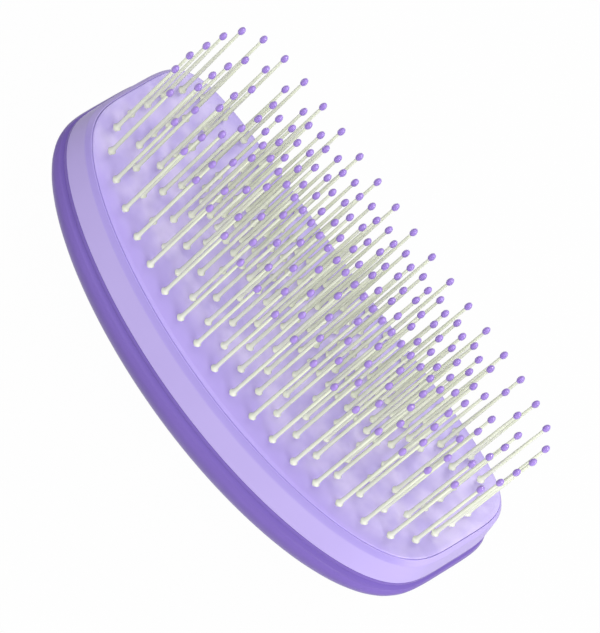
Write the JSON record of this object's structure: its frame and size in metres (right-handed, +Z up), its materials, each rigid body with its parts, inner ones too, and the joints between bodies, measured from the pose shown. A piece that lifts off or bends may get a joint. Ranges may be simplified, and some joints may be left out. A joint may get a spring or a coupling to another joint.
{
  "type": "detangling brush",
  "caption": "Handleless palm detangling brush with a bowed body, a soft cushion pad and slim ball-tipped pins that point up.",
  "frame": {"origin": "middle of the small flat under the back, on the surface that the brush lies on", "axes": "+X along the brush, +Y across it towards the denser rows, +Z up along the pins"},
  "size_m": [0.0972, 0.0476, 0.0453],
  "materials": {
    "back_shell": "moulded, satin gloss",
    "front_frame": "moulded, satin gloss",
    "cushion_pad": "soft matt elastomer",
    "clamp_ring": "moulded",
    "pins": "drawn nylon, slightly see-through",
    "ball_tips": "gloss"
  },
  "bodies": {
    "root": {"back_shell": "back_shell", "front_frame": "front_frame", "cushion_pad": "cushion_pad", "clamp_ring": "clamp_ring", "pins_row_1": "pins", "pins_row_2": "pins", "pins_row_3": "pins", "pins_row_4": "pins", "pins_row_5": "pins", "pins_row_6": "pins", "pins_row_7": "pins", "pins_row_8": "pins", "pins_row_9": "pins", "tips_row_1": "ball_tips", "tips_row_2": "ball_tips", "tips_row_3": "ball_tips", "tips_row_4": "ball_tips", "tips_row_5": "ball_tips", "tips_row_6": "ball_tips", "tips_row_7": "ball_tips", "tips_row_8": "ball_tips", "tips_row_9": "ball_tips"}
  },
  "joints": []
}
